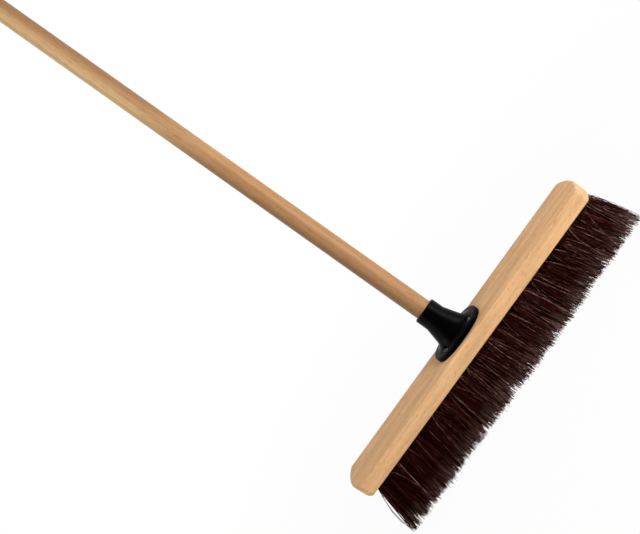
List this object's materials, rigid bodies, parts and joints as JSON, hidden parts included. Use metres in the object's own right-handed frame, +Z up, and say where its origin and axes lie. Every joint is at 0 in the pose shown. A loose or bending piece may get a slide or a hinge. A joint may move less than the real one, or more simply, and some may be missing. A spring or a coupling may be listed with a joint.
{
  "type": "bassine broom",
  "caption": "Push broom with a bow-ended wooden head, stiff dark plant-fibre bristles and a round wooden handle leaning back in a black plastic socket.",
  "frame": {"origin": "on the floor under the middle of the head, at the cut tip of the middle bristle strand", "axes": "+Z up, +X along the head, +Y to the back, where the handle leans"},
  "size_m": [0.4743, 0.4661, 1.3823],
  "materials": {
    "block_wood": "sanded pale hardwood, fine grain along the head",
    "handle_wood": "varnished golden brown hardwood, long grain",
    "socket_plastic": "black moulded plastic, satin",
    "screw_steel": "steel with a dull black finish",
    "bristle_fibre": "stiff dark brown palm fibre, matt"
  },
  "bodies": {
    "root": {"block": "block_wood", "bristles_left_end": "bristle_fibre", "bristles_left_middle": "bristle_fibre", "bristles_right_middle": "bristle_fibre", "bristles_right_end": "bristle_fibre", "socket": "socket_plastic", "flange_screw_left": "screw_steel", "flange_screw_right": "screw_steel", "flange_screw_back_left": "screw_steel", "flange_screw_back_right": "screw_steel", "handle": "handle_wood", "handle_screw": "screw_steel"}
  },
  "joints": []
}
